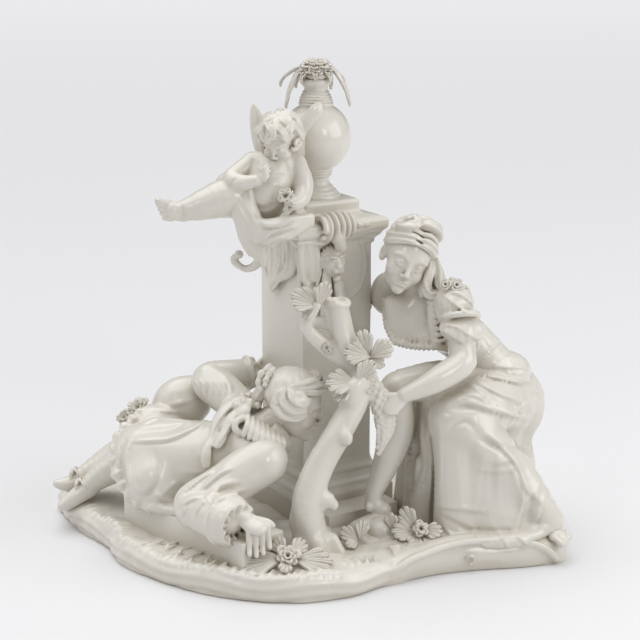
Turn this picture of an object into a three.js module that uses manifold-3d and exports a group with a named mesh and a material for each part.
// A glazed porcelain figure group, about 26 cm high and fired as one piece with its plinth.
// A youth lies on a stone slab and a lady sits beside a pedestal with an urn, where a cupid hides.
// Millimetres, +Z up, +X to the viewer's right. The origin is on the underside, below the urn.
import * as THREE from 'three';
import { mergeVertices } from 'three/addons/utils/BufferGeometryUtils.js';
import Module from 'manifold-3d';

const wasm = await Module();
wasm.setup();

// Driving dimensions
const BASE_HEIGHT = 13;
const SUNK = 3;
const BASE_CENTRE = { x: 0, y: -32 };
const SLAB = { length: 96, width: 42, height: 16, turn: -46 };
const PEDESTAL_TURN = 32;
const SHAFT_HALF = 21.7;
const PLINTH_HALF = 31;
const CORNICE_HALF = 28.5;
const CORNICE_TOP = 174;
const BLOCK_HALF = 17;
const BLOCK_TOP = 184.5;
const URN_RADIUS = 18.9;
const FACES = 9700;
const LADY_HEAD = 17;
const YOUTH_HEAD = 17;
const CUPID_HEAD = 11;

const radians = THREE.MathUtils.degToRad;
const at = (x, y, z) => new THREE.Vector3(x, y, z);
const between = (a, b, share) => a.clone().lerp(b, share);
const plain = () => 0;
const latitudeOf = (vertex) => Math.asin(THREE.MathUtils.clamp(vertex.y, -1, 1));
const glaze = new THREE.MeshStandardMaterial({ color: 0xe9e6de, roughness: 0.16, metalness: 0 });

// A closed three.js geometry becomes a solid that can be joined and cut.
function solid(geometry) {
  const bare = geometry.clone();
  bare.deleteAttribute('normal');
  bare.deleteAttribute('uv');
  const merged = mergeVertices(bare, 1e-4);
  return new wasm.Manifold(new wasm.Mesh({
    numProp: 3,
    vertProperties: new Float32Array(merged.attributes.position.array),
    triVerts: new Uint32Array(merged.index.array),
  }));
}

const joined = (solids) => solids.reduce((sum, next) => sum.add(next));

// Moves each vertex of a geometry to the place that `place` gives for it.
function reshaped(geometry, place) {
  const positions = geometry.attributes.position;
  const vertex = new THREE.Vector3();
  for (let i = 0; i < positions.count; i += 1) {
    vertex.fromBufferAttribute(positions, i);
    const moved = place(vertex);
    positions.setXYZ(i, moved.x, moved.y, moved.z);
  }
  return geometry;
}

// The thickness at a share of the way along a row of radii, with soft changes between them.
function thickness(radii, along) {
  const place = along * (radii.length - 1);
  const first = Math.min(Math.floor(place), radii.length - 2);
  const share = THREE.MathUtils.smoothstep(place - first, 0, 1);
  return THREE.MathUtils.lerp(radii[first], radii[first + 1], share);
}

// A limb, stem or roll of cloth: a round-ended bar bent along a smooth curve through its joints.
// `flat` squashes it along `up`, and `relief(along, angle)` carves folds as a share of the radius.
function limb(joints, radii, options = {}) {
  const { sides = 12, steps = 4 * joints.length, flat = 1, up = null, relief = plain } = options;
  const curve = new THREE.CatmullRomCurve3(joints, false, 'centripetal');
  const bar = new THREE.CapsuleGeometry(1, 2, 3, sides, steps);
  const frames = curve.computeFrenetFrames(steps, false);
  return solid(reshaped(bar, (vertex) => {
    const axial = THREE.MathUtils.clamp(vertex.y, -1, 1);
    const along = (axial + 1) / 2;
    const row = Math.round(along * steps);
    const forward = curve.getTangentAt(along);
    const side = up ? new THREE.Vector3().crossVectors(forward, up).normalize() : frames.normals[row];
    const top = new THREE.Vector3().crossVectors(side, forward);
    const radius = thickness(radii, curve.getUtoTmapping(along));
    const swell = radius * (1 + relief(along, Math.atan2(vertex.z, vertex.x)));
    return curve.getPointAt(along)
      .addScaledVector(side, vertex.x * swell)
      .addScaledVector(top, vertex.z * swell * flat)
      .addScaledVector(forward, (vertex.y - axial) * radius * 0.8);
  }));
}

// A rounded mass: a ball stretched to three half sizes, carved by `relief(longitude, latitude)`
// and turned about X, Y and Z in degrees.
function mass(centre, [rx, ry, rz], { turn = [0, 0, 0], sides = 16, rings = 10, relief = plain } = {}) {
  const ball = new THREE.SphereGeometry(1, sides, rings);
  reshaped(ball, (vertex) => {
    const swell = 1 + relief(Math.atan2(vertex.z, vertex.x), latitudeOf(vertex));
    return at(vertex.x * rx * swell, -vertex.z * ry * swell, vertex.y * rz * swell);
  });
  ball.applyMatrix4(new THREE.Matrix4().makeRotationFromEuler(new THREE.Euler(...turn.map(radians))));
  return solid(ball.translate(centre.x, centre.y, centre.z));
}

// Carving on limbs: pleats run along the cloth and creases run round it.
const pleats = (count, depth) => (along, angle) => depth * Math.sin(count * angle);
const creases = (count, depth) => (along, angle) =>
  depth * Math.sin(2 * Math.PI * count * along + Math.cos(angle));
const beads = (count, depth) => (along) => depth * Math.cos(2 * Math.PI * count * along);
// Carving on masses: lumps in both directions, as of curls, petals or broken rock.
const lumps = (round, high, depth) => (longitude, latitude) =>
  depth * Math.sin(round * longitude) * Math.cos(high * latitude) * Math.cos(latitude);

// Leaves that spread from a middle like a fan or a whole ring, dished and with a lobed edge.
// `from` and `to` are the angles of the first and the last leaf, seen from in front.
function spray(middle, reach, count, { from = 0, to = 360, facing = at(0, -0.4, 0.9), thick = 3.4 } = {}) {
  const out = facing.clone().normalize();
  const across = new THREE.Vector3().crossVectors(at(0, 1, 0.01), out).normalize();
  const upward = new THREE.Vector3().crossVectors(out, across);
  const whole = to - from === 360;
  const points = 4 * count;
  const disc = new THREE.SphereGeometry(1, points, 2);
  return solid(reshaped(disc, (vertex) => {
    const index = (Math.round(Math.atan2(-vertex.z, vertex.x) / (2 * Math.PI) * points) + points) % points;
    const share = index / (whole ? points : points - 1);
    const angle = radians(whole ? 360 * share : from - 20 + (to - from + 40) * share);
    const rim = Math.hypot(vertex.x, vertex.z);
    const lobe = reach * rim * [0.72, 0.98, 1.05, 0.96][index % 4];
    return middle.clone()
      .addScaledVector(across, lobe * Math.cos(angle))
      .addScaledVector(upward, lobe * Math.sin(angle))
      .addScaledVector(out, vertex.y * thick + 0.16 * lobe);
  }));
}

// A body of square plan from a profile of [half width, height], turned with the pedestal.
function squareTurned(profile) {
  const points = profile.map(([half, height]) => new THREE.Vector2(half * Math.SQRT2, height));
  const body = new THREE.LatheGeometry(points, 4);
  body.rotateX(Math.PI / 2);
  body.rotateZ(radians(45 + PEDESTAL_TURN));
  return solid(body);
}

// A round body from a profile of [radius, height] on the pedestal's axis.
function turned(profile, sides) {
  const points = profile.map(([radius, height]) => new THREE.Vector2(radius, height));
  return solid(new THREE.LatheGeometry(points, sides).rotateX(Math.PI / 2));
}

// Places on the pedestal's two front faces: `across` runs to the right, `out` from the shaft.
const rightFace = (across, height, out = 0) => at(across, -SHAFT_HALF - out, height)
  .applyAxisAngle(at(0, 0, 1), radians(PEDESTAL_TURN));
const leftFace = (across, height, out = 0) => at(across, -SHAFT_HALF - out, height)
  .applyAxisAngle(at(0, 0, 1), radians(PEDESTAL_TURN - 90));
const RIGHT_OUT = rightFace(0, 0, 1).sub(rightFace(0, 0, 0));
const LEFT_OUT = leftFace(0, 0, 1).sub(leftFace(0, 0, 0));

// The ground: a rocky mound with a wavy outline, a waist in its edge and a scrolled panel.
function base() {
  const outline = new THREE.CatmullRomCurve3([
    at(-147, 13, 0), at(-133, -18, 0), at(-113, -46, 0), at(-104, -68, 0), at(-85, -89, 0), at(-60, -107, 0),
    at(-33, -118, 0), at(-8, -120, 0), at(17, -113, 0), at(38, -97, 0), at(65, -83, 0), at(92, -77, 0),
    at(117, -71, 0), at(131, -60, 0), at(135, -38, 0), at(136, -8, 0), at(118, 26, 0), at(78, 46, 0),
    at(30, 54, 0), at(-20, 53, 0), at(-70, 45, 0), at(-118, 38, 0), at(-141, 30, 0),
  ], true, 'centripetal');
  const sides = 160;
  const rings = 6;
  const edge = outline.getSpacedPoints(sides);
  const inset = [2.5, 0.5, 0, 0, 0.5, 1.5, 3.5];
  const drum = new THREE.CylinderGeometry(1, 1, 1, sides, rings);
  const ground = solid(reshaped(drum, (vertex) => {
    const height = vertex.y + 0.5;
    const ring = Math.round(height * rings);
    const middle = Math.hypot(vertex.x, vertex.z) < 0.5;
    if (middle) return at(BASE_CENTRE.x, BASE_CENTRE.y, height * (BASE_HEIGHT + SUNK + 1.5) - SUNK);
    const turn = Math.round(Math.atan2(-vertex.z, -vertex.x) / (2 * Math.PI) * sides);
    const index = (sides - turn) % sides;
    const point = edge[index];
    const outward = at(point.x - BASE_CENTRE.x, point.y - BASE_CENTRE.y, 0).normalize();
    const grass = ring === 0 || ring === rings ? 0 : (index % 3) * 0.4 + 0.6 * Math.sin(index * 0.7);
    const carved = inset[ring] + grass;
    return at(point.x, point.y, height * (BASE_HEIGHT + SUNK + Math.sin(index * 0.4)) - SUNK)
      .addScaledVector(outward, -carved);
  }));
  const scroll = [
    at(37, -95, 1), at(42, -95, 8), at(50, -91, 12.5), at(68, -81, 15.5), at(86, -75, 16),
    at(104, -72, 15), at(118, -70, 11), at(127, -68, 3),
  ];
  const hollow = mass(at(82, -90, -3), [41, 12.5, 17.5], { turn: [0, 0, 14], sides: 24 });
  const rim = limb(scroll, [2, 2.6, 2.4, 2.4, 2.4, 2.4, 2.6, 3]);
  const bank = limb(scroll.map((point) => point.clone().add(at(0, 7, -3))), [3, 5, 5, 5, 5, 5, 5, 3]);
  const rock = (x, y, sizes) => mass(at(x, y, 11), sizes, { relief: lumps(4, 3, 0.15) });
  const rocks = [
    mass(at(34, -60, 17), [9, 8, 6]),
    rock(-6, -96, [24, 13, 5]), rock(56, -68, [26, 9, 5]), rock(-126, -6, [16, 18, 5]),
    rock(-70, 18, [50, 22, 7]), rock(60, 24, [52, 20, 8]),
  ];
  return joined([ground, bank, ...rocks]).subtract(hollow).add(rim);
}

// The stone slab that the youth lies on, with its edges worn off.
function slab() {
  const shape = new THREE.Shape();
  shape.moveTo(-SLAB.length / 2, -SLAB.width / 2);
  shape.lineTo(SLAB.length / 2, -SLAB.width / 2);
  shape.lineTo(SLAB.length / 2, SLAB.width / 2);
  shape.lineTo(-SLAB.length / 2, SLAB.width / 2);
  const block = new THREE.ExtrudeGeometry(shape, {
    depth: SLAB.height + 1, bevelThickness: 1.5, bevelSize: 1.5, bevelOffset: -1.5, bevelSegments: 1 });
  block.rotateZ(radians(SLAB.turn));
  return solid(block.translate(-52, -64, BASE_HEIGHT - 3));
}

// The pedestal: plinth, shaft, cornice and the block that carries the urn.
function pedestal() {
  const column = squareTurned([
    [0, 6], [PLINTH_HALF, 6], [PLINTH_HALF, 25], [29, 27.5], [28.5, 29.5], [26, 31], [24.5, 33.5],
    [24.5, 35.5], [22.5, 38], [SHAFT_HALF, 41], [SHAFT_HALF, 160], [23, 161], [23, 163], [25.5, 165.5],
    [27.8, 168.5],
    [CORNICE_HALF, 170], [CORNICE_HALF, CORNICE_TOP], [CORNICE_HALF - 3, CORNICE_TOP + 1.5],
    [BLOCK_HALF + 1.5, CORNICE_TOP + 2.5], [BLOCK_HALF, CORNICE_TOP + 4], [BLOCK_HALF, BLOCK_TOP - 1],
    [BLOCK_HALF - 1, BLOCK_TOP], [0, BLOCK_TOP],
  ]);
  const step = new THREE.BoxGeometry(44, 26, 12);
  step.rotateZ(radians(PEDESTAL_TURN)).translate(...rightFace(0, BASE_HEIGHT + 2, 14));
  return joined([column, solid(step)]);
}

// Ornament on the right face: a rolled bracket, a lion mask with a garland, and an oval medallion.
function rightOrnament() {
  const bracket = limb([rightFace(-12, 176, 5), rightFace(0, 177, 5), rightFace(10, 176, 4)], [6.5, 7.5, 5],
    { relief: creases(3, 0.08) });
  const tail = limb([rightFace(-6, 172, 6), rightFace(-3, 166, 6), rightFace(0, 160, 1)], [4, 4, 3]);
  const medallion = new THREE.CylinderGeometry(1, 1, 2.4, 14).scale(12, 1, 18);
  medallion.rotateZ(radians(PEDESTAL_TURN)).translate(...rightFace(6, 149.5));
  const mask = [
    mass(rightFace(-5, 154, 2), [7, 6, 8], { turn: [0, 0, PEDESTAL_TURN], relief: lumps(4, 3, 0.12) }),
    mass(rightFace(-5, 151, 7), [3.6, 3, 2.8], { turn: [0, 0, PEDESTAL_TURN] }),
  ];
  const chain = limb([
    rightFace(-4, 150, 2), rightFace(-1, 134, 2), rightFace(3, 118, 2), rightFace(12, 100, 1),
    rightFace(22, 90, 0),
  ], [3, 3.4, 3.4, 3.2, 2.6], { sides: 6, steps: 48, relief: beads(8, 0.22) });
  const side = limb([rightFace(-7, 150, 2), rightFace(-9, 136, 2), rightFace(-12, 122, 0)], [2.4, 3, 1.6]);
  return joined([bracket, tail, solid(medallion), ...mask, chain, side]);
}

// Ornament on the left face: a cloth swag, pinned under the cornice, with hanging tips.
function leftSwag() {
  const cloth = (joints, radii, up) => limb(joints, radii, { up, flat: 0.34, relief: pleats(3, 0.09) });
  return joined([
    cloth([leftFace(0, 166, 4), leftFace(0, 152, 3), leftFace(0, 127, 1.5)], [11, 13, 3], LEFT_OUT),
    cloth([leftFace(20, 165, 5), leftFace(22, 150, 5), leftFace(21, 134, 4)], [7, 7, 5], LEFT_OUT),
    cloth([leftFace(-16, 163, 4), leftFace(-21, 152, 4), leftFace(-18, 140, 2)], [6, 6, 3], LEFT_OUT),
    cloth([rightFace(-20, 165, 4), rightFace(-19, 150, 4), rightFace(-17, 136, 3)], [6, 7, 4], RIGHT_OUT),
    limb([leftFace(-24, 160, 3), leftFace(-6, 163, 5), leftFace(12, 160, 5), rightFace(-21, 162, 5)],
      [3, 4, 4, 4], { relief: creases(2, 0.12) }),
  ]);
}

// The urn, thrown round: a ringed foot, a ball body, a collar and a neck with a flared lip.
function urn() {
  const middle = 216.5;
  const ball = Array.from({ length: 7 }, (_, i) => {
    const latitude = radians(-58 + 19.4 * i);
    return [URN_RADIUS * Math.cos(latitude), middle + URN_RADIUS * Math.sin(latitude)];
  });
  return turned([
    [0, BLOCK_TOP - 1], [13, BLOCK_TOP - 1], [12.6, BLOCK_TOP + 2], [9, BLOCK_TOP + 5], [7.2, BLOCK_TOP + 8],
    [7, BLOCK_TOP + 10], [8.9, BLOCK_TOP + 12], [8.9, BLOCK_TOP + 14], ...ball, [8.9, 235.5], [8.7, 237.4],
    [8.1, 239.8], [6.3, 242.2], [8, 245.5], [8, 247], [6.8, 248], [0, 248],
  ], 16);
}

// The flower in the urn's mouth: two rings of petals on a calyx, and long leaves that droop.
function urnFlower() {
  const droop = [200, 235, 160, 330, 20].map((degrees, i) => {
    const angle = radians(degrees);
    const out = (reach, height) => at(reach * Math.cos(angle), reach * Math.sin(angle), height);
    const reach = 18 - (i % 2) * 2;
    return limb([out(3, 250), out(9, 255), out(0.88 * reach, 252), out(reach, 240)], [1.8, 2.6, 2.6, 1.1],
      { flat: 0.5, up: at(Math.cos(angle), Math.sin(angle), 0) });
  });
  return joined([
    mass(at(0, 0, 251), [7.5, 7.5, 6], { sides: 16, relief: lumps(8, 1, 0.14) }),
    mass(at(0, 0, 257), [5, 5, 4.4], { sides: 12, relief: lumps(6, 1, 0.16) }),
    ...droop,
  ]);
}

// The little tree before the pedestal: a bent trunk, a lopped top and a side branch.
function tree() {
  const trunk = limb([
    at(2, -80, 10), at(-4, -80, 40), at(2, -76, 58), at(12, -72, 76), at(22, -66, 92), at(23, -61, 104),
    at(15, -57, 118), at(11, -54, 138),
  ], [10, 8.4, 7.4, 7, 6.4, 6, 6.2, 6.4], { steps: 24 });
  const cut = mass(at(11, -54, 139.5), [7.6, 7.6, 2.4]);
  const branch = limb([at(18, -60, 108), at(6, -58, 116), at(-3, -60, 124), at(-7, -60, 138)],
    [4.6, 4.2, 3.4, 2.4]);
  const knot = mass(at(5, -80, 41), [5, 4, 5]);
  const tie = limb([at(11, -54, 126), at(4, -46, 126), rightFace(-2, 124, -2)], [3.4, 3, 3]);
  const hanging = limb([at(28, -62, 98), at(36, -64, 86), at(36, -64, 74), at(33, -64, 62)], [5, 6, 5, 2],
    { flat: 0.5, up: at(0.3, -1, 0), relief: pleats(3, 0.12) });
  return joined([
    trunk, cut, branch, knot, tie, hanging,
    spray(at(-7, -61, 137), 13, 4, { from: 55, to: 185, facing: at(0, -0.9, 0.4) }),
    spray(at(-3, -60, 139), 11, 2, { from: 60, to: 100, facing: at(0.2, -0.9, 0.3) }),
    spray(at(25, -63, 104), 15, 5, { from: -10, to: 150, facing: at(0, -0.8, 0.6) }),
    spray(at(17, -69, 92), 15, 5, { from: 90, to: 230, facing: at(0, -0.9, 0.4) }),
  ]);
}

// Leaves and small flowers that grow out of the ground.
function groundLeaves() {
  return joined([
    spray(at(-16, -106, 14), 15, 7, { facing: at(0, -0.4, 0.9) }),
    spray(at(4, -104, 14), 12, 5, { facing: at(0.2, -0.4, 0.9) }),
    spray(at(60, -66, 16), 13, 6, { facing: at(0, -0.5, 0.8) }),
    spray(at(43, -68, 15), 8, 4, { facing: at(0, -0.5, 0.8) }),
    spray(at(22, -74, 14), 8, 3, { from: 30, to: 150, facing: at(0, -0.8, 0.6) }),
  ]);
}

// A plain young face on a rounded skull, looking along `facing`, with `crown` towards the top.
// It gives its places in head radii to the right, forward and up, and masses in the same frame.
function head(centre, radius, facing, crown) {
  const front = facing.clone().normalize();
  const across = new THREE.Vector3().crossVectors(front, crown).normalize();
  const top = new THREE.Vector3().crossVectors(across, front);
  const frame = new THREE.Matrix4().makeBasis(across, front, top);
  const place = (...shares) => at(...shares).multiplyScalar(radius).applyMatrix4(frame).add(centre);
  const part = (middle, sizes, { sides = 14, rings = 9, relief = plain } = {}) => {
    const ball = new THREE.SphereGeometry(1, sides, rings);
    reshaped(ball, (vertex) => vertex.multiplyScalar(
      1 + relief(Math.atan2(vertex.z, vertex.x), latitudeOf(vertex)),
    ));
    ball.rotateX(Math.PI / 2).scale(...sizes.map((size) => size * radius)).applyMatrix4(frame);
    return solid(ball.translate(...place(...middle)));
  };
  const face = [
    part([0, 0.1, 0.1], [0.76, 0.88, 0.88]),
    part([0, 0.34, -0.4], [0.58, 0.56, 0.72]),
    limb([place(0, 0.82, 0.12), place(0, 1.04, -0.26)], [0.1 * radius, 0.18 * radius],
      { up: front }),
  ];
  return { face, place, part };
}

// Hair as a cap whose locks are combed back in waves.
const combed = (count, depth) => (longitude, latitude) =>
  depth * Math.sin(count * longitude + 2 * latitude) * Math.cos(latitude);

// A hand: a flat palm whose four fingers lie together, and a thumb.
function hand(wrist, knuckles, tips, spread, size) {
  const back = new THREE.Vector3().crossVectors(spread, knuckles.clone().sub(wrist)).normalize();
  const thumbTip = knuckles.clone().addScaledVector(spread, -size * 1.3);
  const thumb = limb([between(wrist, knuckles, 0.3), thumbTip], [size * 0.45, size * 0.35]);
  const fingers = [-1.5, -0.5, 0.5, 1.5].map((step) => {
    const offset = spread.clone().multiplyScalar(step * size * 0.52);
    return limb([knuckles.clone().add(offset), tips.clone().add(offset)], [size * 0.38, size * 0.3]);
  });
  return joined([limb([wrist, knuckles], [size * 0.8, size], { flat: 0.6, up: back }), thumb, ...fingers]);
}

// A bare foot with a heel, a sole and toes.
function foot(heel, ball, toes, spread, size) {
  const row = [-0.6, 0.2, 0.8].map((step, i) => {
    const offset = spread.clone().multiplyScalar(step * size);
    return limb([ball.clone().add(offset), toes.clone().add(offset)],
      [size * (0.5 - 0.06 * i), size * (0.42 - 0.06 * i)]);
  });
  return joined([limb([heel, ball], [size, size * 1.05], { flat: 0.7 }), ...row]);
}

// A pleated frill along a curve, as at a cuff, a neck or a coat's edge.
function frill(joints, size, count) {
  return limb(joints, joints.map(() => size), { steps: count * 2, relief: creases(count, 0.22) });
}

// The lady sits on the bank to the right, leans to the pedestal and holds a leafy spray.
function lady() {
  const pelvis = at(106, -18, 76);
  const waist = at(93, -19, 101);
  const chest = at(68, -20, 117);
  const neck = at(57, -18, 132);
  const rightShoulder = at(41, -2, 134);
  const leftShoulder = at(75, -33, 132);
  const leftElbow = at(80, -52, 106);
  const leftWrist = at(46, -63, 92);
  const leftKnuckles = at(38, -65, 85);
  const rightKnee = at(41, -44, 91);
  const rightAnkle = at(30, -50, 31);
  const leftKnee = at(73, -52, 74);
  const leftFoot = at(124, -56, 20);
  const skull = head(at(48, -24, 156), LADY_HEAD, at(0.09, -0.99, -0.08), at(0.37, 0.2, 0.9));
  const hair = [
    skull.part([0, -0.2, 0.3], [0.86, 0.86, 0.84], { sides: 12, relief: combed(6, 0.05) }),
    skull.part([0.1, -0.25, 1.02], [0.55, 0.45, 0.3]),
    skull.part([0.42, 0.25, 0.98], [0.26, 0.24, 0.22]),
    limb([skull.place(-0.6, -0.3, -0.2), skull.place(-0.8, 0, -0.7), skull.place(-1.2, 0, -1)],
      [5, 5, 4.6], { relief: creases(3, 0.12) }),
  ];
  const torso = [
    limb([pelvis, waist, chest, at(62, -17, 128)], [24, 16, 18, 13], { flat: 0.86, up: at(0.5, 0.3, 1) }),
    mass(at(53, -24, 117), [12, 10, 12]),
    mass(at(67, -29, 117), [12, 10, 12]),
    limb([at(48, -25, 109), at(62, -30, 106), at(78, -30, 105)], [8, 10, 10], { relief: creases(5, 0.06) }),
    limb([rightShoulder, neck, leftShoulder], [8, 9, 10]),
    limb([at(60, -19, 126), at(53, -22, 146)], [11, 8]),
    mass(at(56, -21, 127), [17, 12, 12]),
    frill([at(42, -14, 124), at(45, -31, 111), at(57, -37, 106)], 2.6, 5),
    frill([at(66, -40, 106), at(70, -41, 118), at(70, -34, 130)], 2.8, 5),
    limb([at(82, -36, 102), at(96, -30, 97), at(108, -20, 104)], [5, 8, 5], { flat: 0.5 }),
  ];
  const arms = [
    limb([rightShoulder, at(36, 10, 126), at(22, 15, 127)], [9, 7, 4.6]),
    hand(at(23, 14, 127), at(26, 6, 127), at(31, -2, 126), at(0, 0, 1), 4),
    mass(between(leftShoulder, leftElbow, 0.2), [14, 13, 15], { relief: lumps(8, 1, 0.07) }),
    limb([between(leftShoulder, leftElbow, 0.3), leftElbow, between(leftElbow, leftWrist, 0.5), leftWrist],
      [9.5, 8, 6.8, 4.6]),
    frill([at(66, -50, 118), at(78, -54, 113), at(92, -44, 114)], 3.4, 4),
    hand(leftWrist, leftKnuckles, at(33, -66, 77), at(0.6, 0.2, -0.5), 4.2),
  ];
  const skirt = [
    mass(pelvis, [22, 23, 24], { sides: 10, relief: lumps(5, 1, 0.06) }),
    limb([at(104, -22, 78), at(90, -44, 80), leftKnee], [23, 18, 15], { relief: creases(2, 0.05) }),
    limb([leftKnee, at(76, -57, 50), at(77, -58, 17)], [14, 15.5, 16.5], { flat: 0.7, up: at(0.2, -1, 0),
      relief: pleats(4, 0.06) }),
    limb([at(80, -54, 72), at(104, -55, 44), leftFoot], [14, 14, 9], { relief: creases(2, 0.05) }),
    limb([at(64, -64, 14), at(84, -69, 14), at(104, -69, 15), leftFoot], [6, 7, 7, 8], { flat: 0.6,
      relief: creases(3, 0.15) }),
    mass(at(94, -36, 34), [26, 22, 26], { relief: lumps(7, 1, 0.05) }),
    mass(at(91, -18, 42), [28, 29, 36], { sides: 24, relief: lumps(9, 1, 0.05) }),
    mass(at(98, -12, 16), [24, 26, 14], { sides: 24, relief: lumps(8, 1, 0.08) }),
    limb([at(90, -26, 84), at(62, -34, 90), rightKnee], [15, 12, 9]),
    ...[0, 1].map((i) => limb(
      [at(62 - 2 * i, -36 + 10 * i, 86), at(59 - 4 * i, -38 + 14 * i, 54), at(57 - 5 * i, -38 + 16 * i, 14)],
      [8, 8, 10],
    )),
  ];
  const legs = [
    limb([rightKnee, at(44, -42, 66), at(37, -46, 47), rightAnkle], [8.5, 8.8, 7, 4.8]),
    limb([rightAnkle, at(35, -52, 23)], [4.8, 5.6]),
    foot(at(35, -53, 22), at(25, -61, 19), at(18, -67, 15), at(0.8, -0.6, 0), 5),
    foot(leftFoot, at(129, -60, 15), at(132, -65, 12), at(0.6, 0.8, 0), 4.2),
  ];
  return joined([...skull.face, ...hair, ...torso, ...arms, ...skirt, ...legs]);
}

// The youth lies along the slab on one elbow, in a coat with a pleated edge, and looks up.
function youth() {
  const hips = at(-82, -34, 49);
  const waist = at(-64, -42, 51);
  const chest = at(-44, -51, 56);
  const nearShoulder = at(-27, -70, 58);
  const nearElbow = at(-64, -80, 38);
  const nearWrist = at(-42, -97, 36);
  const farShoulder = at(-42, -26, 74);
  const farElbow = at(-58, -8, 84);
  const farWrist = at(-38, 4, 84);
  const skull = head(at(-11, -55, 85), YOUTH_HEAD, at(0.95, -0.14, -0.28), at(0.28, 0, 0.96));
  const hair = [
    skull.part([0, -0.16, 0.2], [0.84, 0.9, 0.86], { sides: 12, relief: combed(6, 0.05) }),
    skull.part([0, -0.96, 0.5], [0.3, 0.28, 0.34]),
    limb([skull.place(0.78, 0.3, -0.1), skull.place(0.86, -0.1, -0.2), skull.place(0.7, -0.5, -0.1)],
      [4, 5, 4]),
    limb([skull.place(0.7, 0.4, 0.28), skull.place(0.82, 0, 0.28), skull.place(0.62, -0.45, 0.4)], [4, 5, 4]),
  ];
  const coat = [
    limb([at(-91, -31, 47), hips, waist, chest, at(-32, -55, 66)], [22, 23, 21.5, 19, 13],
      { sides: 10, flat: 0.96, up: at(0, 0, 1), relief: pleats(5, 0.03) }),
    limb([nearShoulder, at(-40, -50, 68), farShoulder], [13, 13, 10]),
    mass(at(-84, -46, 39), [21, 18, 19], { turn: [0, 0, -30], relief: lumps(6, 2, 0.05) }),
    frill([at(-80, -60, 29), at(-97, -52, 31), at(-108, -38, 44), at(-107, -22, 56), at(-94, -10, 65)],
      3.8, 9),
    mass(at(-74, 0, 68), [18, 14, 15], { turn: [0, -25, 0] }),
    mass(at(-88, -12, 57), [17, 14, 14]),
    limb([at(-84, -58, 31), at(-72, -64, 30), at(-60, -70, 29)], [8, 7, 5], { flat: 0.5, up: at(0, 0, 1) }),
    limb([at(-64, -54, 62), at(-52, -50, 75), at(-38, -46, 78)], [4, 6, 4],
      { flat: 0.5, relief: pleats(3, 0.12) }),
    limb([at(-60, -60, 50), at(-52, -60, 64), at(-36, -58, 76)], [3, 6, 5],
      { flat: 0.7, relief: pleats(3, 0.12) }),
    limb([at(-36, -58, 68), at(-26, -55, 74), at(-18, -55, 78)], [10, 8.5, 8]),
    frill([at(-34, -70, 70), at(-25, -72, 66), at(-17, -66, 64), at(-15, -56, 66)], 4, 4),
    frill([at(-36, -66, 74), at(-38, -56, 80), at(-34, -44, 82)], 4, 3),
    mass(at(-98, -6, 69), [6, 5, 4]),
  ];
  const arms = [
    limb([nearShoulder, at(-45, -77, 50), nearElbow, between(nearElbow, nearWrist, 0.6)],
      [13.5, 12, 11.5, 11], { relief: creases(3, 0.04) }),
    limb([between(nearElbow, nearWrist, 0.35), between(nearElbow, nearWrist, 0.85)], [12, 13]),
    frill([at(-50, -105, 31), at(-42, -105, 42), at(-33, -96, 46), at(-32, -88, 40)], 3, 4),
    hand(nearWrist, at(-31, -106, 34), at(-27, -111, 24), at(0.6, 0.5, 0), 4.4),
    limb([farShoulder, between(farShoulder, farElbow, 0.5), farElbow, farWrist], [11, 11, 10.5, 8],
      { relief: creases(4, 0.05) }),
    limb([at(-44, 2, 84), at(-34, 8, 84), at(-20, 8, 84)], [6, 5, 4]),
    frill([at(-38, -2, 91), at(-35, 10, 91)], 3, 2),
  ];
  const legs = [
    limb([at(-96, -20, 44), at(-110, -12, 36), at(-126, -15, 24)], [13, 9.5, 5.6]),
    limb([at(-125, -15, 24), at(-133, -17, 19), at(-140, -20, 15)], [6.4, 5.4, 2.8]),
    limb([at(-96, -2, 44), at(-112, 0, 36), at(-130, -5, 27)], [13, 9.5, 5.6]),
    limb([at(-129, -5, 25), at(-137, -6, 22), at(-144, -7, 23)], [6, 5.4, 2.6]),
  ];
  return joined([...skull.face, ...hair, ...coat, ...arms, ...legs]);
}

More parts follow.
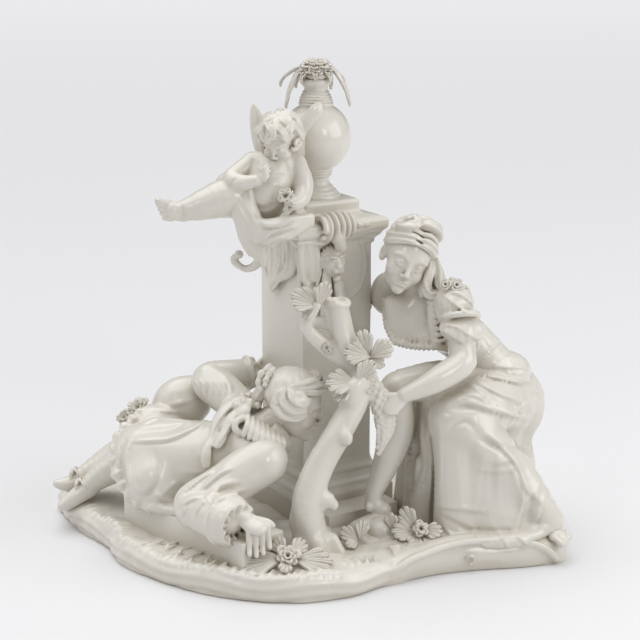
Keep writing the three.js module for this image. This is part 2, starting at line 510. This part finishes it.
// The cupid sits on the cornice with one leg held out, a finger at the lips and a bow behind.
function cupid() {
  const hips = at(-28, -28, 186);
  const chest = at(-24, -30, 201);
  const rightShoulder = at(-33, -27, 208);
  const leftShoulder = at(-10, -26, 206);
  const skull = head(at(-18.5, -31, 219), CUPID_HEAD, at(-0.35, -0.85, -0.35), at(-0.1, -0.2, 1));
  const curls = [
    skull.part([0, -0.16, 0.32], [0.98, 0.98, 0.9], { sides: 14, relief: lumps(7, 6, 0.13) }),
    skull.part([0, 0.62, 0.72], [0.5, 0.36, 0.34], { relief: lumps(3, 1, 0.15) }),
  ];
  const body = [
    limb([hips, at(-27, -32, 193), chest, at(-20, -28, 209)], [13, 13, 11.5, 7]),
    limb([rightShoulder, at(-21, -28, 208), leftShoulder], [5.4, 7, 5.6]),
    limb([rightShoulder, at(-43, -36, 202), at(-34, -43, 199), at(-25, -44, 203)], [5.2, 5.2, 4.4, 3]),
    limb([leftShoulder, at(-2, -33, 197), at(-5, -42, 190), at(-11, -46, 189)], [5.4, 5.2, 4.4, 3.2]),
    mass(at(-13, -48, 192), [4, 4, 5]),
    limb([hips, at(-44, -35, 190), at(-57, -38, 187), at(-69, -40, 185)], [11, 10.4, 7.8, 5.4]),
    foot(at(-68, -40, 184), at(-74, -41, 185), at(-79, -42, 187), at(0.1, 0.3, 0.95), 5.4),
    limb([hips, at(-46, -16, 193), at(-40, -10, 178)], [9, 7.5, 5]),
    limb([at(-22, -28, 181), at(-8, -40, 180), at(-16, -46, 177)], [8, 6, 4]),
  ];
  const drapery = [
    limb([at(-37, -31, 194), at(-35, -42, 182), at(-33, -42, 168), at(-28, -38, 156)], [5, 7, 6.4, 3],
      { flat: 0.6, relief: pleats(3, 0.12) }),
    limb([at(-34, -42, 170), at(-20, -46, 171), at(-8, -40, 177), at(0, -34, 178)], [5, 5, 4, 3],
      { flat: 0.6 }),
    mass(at(-24, -29, 177), [18, 14, 6], { relief: lumps(4, 1, 0.12) }),
  ];
  const bow = limb([
    at(-42, -28, 156), at(-36, -32, 151), at(-29, -36, 157), at(-25, -41, 169), at(-14, -46, 186),
  ], [2.4, 2.2, 2.4, 2.2, 2]);
  const wing = { flat: 0.35, up: at(0, 1, 0) };
  const wings = [
    limb([at(-25, -20, 208), at(-29, -17, 222), at(-32, -15, 234)], [5.5, 6, 1.8], wing),
    limb([at(-12, -19, 208), at(-5, -15, 222), at(0, -13, 234)], [5.5, 6, 2], wing),
  ];
  return joined([...skull.face, ...curls, ...body, ...drapery, bow, ...wings]);
}

// Sorts the edges that could go by what their loss would cost, cheapest first.
class Queue {
  constructor() {
    this.items = [];
  }

  swap(i, j) {
    [this.items[i], this.items[j]] = [this.items[j], this.items[i]];
  }

  push(item) {
    let i = this.items.push(item) - 1;
    while (i > 0) {
      const above = (i - 1) >> 1;
      if (this.items[i].cost >= this.items[above].cost) return;
      this.swap(i, above);
      i = above;
    }
  }

  pop() {
    this.swap(0, this.items.length - 1);
    const least = this.items.pop();
    for (let i = 0; ;) {
      const below = [2 * i + 1, 2 * i + 2].filter((j) => j < this.items.length);
      if (below.length === 0) return least;
      const child = below.reduce((a, b) => (this.items[b].cost < this.items[a].cost ? b : a));
      if (this.items[i].cost <= this.items[child].cost) return least;
      this.swap(i, child);
      i = child;
    }
  }
}

// The sum of squared distances from a point to planes, kept as the ten numbers of a symmetric matrix.
const planeError = ({ x, y, z }, w) => [
  x * x, x * y, x * z, x * w, y * y, y * z, y * w, z * z, z * w, w * w,
];
const errorAt = (q, { x, y, z }) => q[0] * x * x + 2 * q[1] * x * y + 2 * q[2] * x * z + 2 * q[3] * x
  + q[4] * y * y + 2 * q[5] * y * z + 2 * q[6] * y + q[7] * z * z + 2 * q[8] * z + q[9];

// Thins a closed body to a number of faces. Again and again it closes up the edge whose loss changes
// the surface least, and it keeps the body closed and every face turned outwards.
function thinned(body, most) {
  const { points, faces } = facesOf(body);
  const around = points.map(() => new Set());
  faces.forEach((face, i) => face.forEach((corner) => around[corner].add(i)));
  const normalOf = (a, b, c) => b.clone().sub(a).cross(c.clone().sub(a));
  const errors = points.map(() => new Array(10).fill(0));
  faces.forEach((face) => {
    const normal = normalOf(...face.map((corner) => points[corner]));
    const area = normal.length();
    if (area === 0) return;
    normal.divideScalar(area);
    const own = planeError(normal, -normal.dot(points[face[0]]));
    face.forEach((corner) => own.forEach((value, k) => {
      errors[corner][k] += value * area;
    }));
  });
  const stamps = points.map(() => 0);
  const neighbours = (v) => new Set([...around[v]].flatMap((i) => faces[i]).filter((w) => w !== v));
  const queue = new Queue();
  const offer = (a, b) => {
    const sum = errors[a].map((value, k) => value + errors[b][k]);
    const places = [points[a], points[b], between(points[a], points[b], 0.5)];
    const best = places.reduce((p, q) => (errorAt(sum, q) < errorAt(sum, p) ? q : p));
    const cost = errorAt(sum, best) + 1e-5 * points[a].distanceToSquared(points[b]);
    queue.push({ cost, a, b, sum, best: best.clone(), when: stamps[a] + stamps[b] });
  };
  faces.forEach(([a, b, c]) => [[a, b], [b, c], [c, a]].forEach(([from, to]) => {
    if (from < to) offer(from, to);
  }));
  const keepsTurn = (v, other, place) => [...around[v]].every((i) => {
    const face = faces[i];
    if (face.includes(other)) return true;
    const before = normalOf(...face.map((corner) => points[corner]));
    const after = normalOf(...face.map((corner) => (corner === v ? place : points[corner])));
    return after.dot(before) > 0.3 * after.length() * before.length() && after.length() > 1e-3;
  });
  let left = faces.length;
  while (left > most && queue.items.length > 0) {
    const { a, b, sum, best, when } = queue.pop();
    const current = around[a].size > 0 && around[b].size > 0 && when === stamps[a] + stamps[b];
    const near = current ? neighbours(a) : new Set();
    const shared = current ? [...neighbours(b)].filter((v) => near.has(v)) : [];
    if (near.has(b) && shared.length === 2 && keepsTurn(a, b, best) && keepsTurn(b, a, best)) {
      [...around[b]].forEach((i) => {
        if (faces[i].includes(a)) {
          faces[i].forEach((corner) => around[corner].delete(i));
          faces[i] = null;
          left -= 1;
        } else {
          faces[i] = faces[i].map((corner) => (corner === b ? a : corner));
          around[a].add(i);
        }
      });
      around[b].clear();
      points[a] = best;
      errors[a] = sum;
      stamps[a] += 1;
      neighbours(a).forEach((v) => offer(a, v));
    }
  }
  const kept = new THREE.BufferGeometry();
  const corners = faces.filter((face) => face !== null).flat();
  const places = corners.flatMap((v) => points[v].toArray());
  kept.setAttribute('position', new THREE.Float32BufferAttribute(places, 3));
  return solid(mergeVertices(kept, 1e-4));
}

// The corners and faces of a body.
function facesOf(body) {
  const { vertProperties, triVerts } = body.getMesh();
  const geometry = new THREE.BufferGeometry();
  geometry.setAttribute('position', new THREE.BufferAttribute(new Float32Array(vertProperties), 3));
  geometry.setIndex(new THREE.BufferAttribute(new Uint32Array(triVerts), 1));
  const merged = mergeVertices(geometry, 1e-4);
  const { position } = merged.attributes;
  const points = Array.from({ length: position.count }, (_, i) => (
    new THREE.Vector3().fromBufferAttribute(position, i)
  ));
  const faces = Array.from({ length: merged.index.count / 3 }, (_, i) => Array.from(
    merged.index.array.slice(3 * i, 3 * i + 3),
  ));
  return { points, faces: faces.filter(([a, b, c]) => a !== b && b !== c && c !== a) };
}

// The whole group is one fired piece.
function asMesh(name, body) {
  const { vertProperties, triVerts } = body.getMesh();
  const geometry = new THREE.BufferGeometry();
  geometry.setAttribute('position', new THREE.BufferAttribute(new Float32Array(vertProperties), 3));
  geometry.setIndex(new THREE.BufferAttribute(new Uint32Array(triVerts), 1));
  const mesh = new THREE.Mesh(geometry, glaze);
  mesh.name = name;
  return mesh;
}

const floor = new THREE.BoxGeometry(400, 400, 40).translate(0, -30, -20);
const joinedUp = joined([
  base(), slab(), pedestal(), rightOrnament(), leftSwag(), urn(), urnFlower(), tree(), groundLeaves(),
  lady(), youth(), cupid(),
]);
const fired = joinedUp.decompose().reduce((most, next) => (next.volume() > most.volume() ? next : most));
const whole = thinned(fired, FACES).subtract(solid(floor));

const group = new THREE.Group();
group.add(asMesh('figure_group', whole));
export default group;
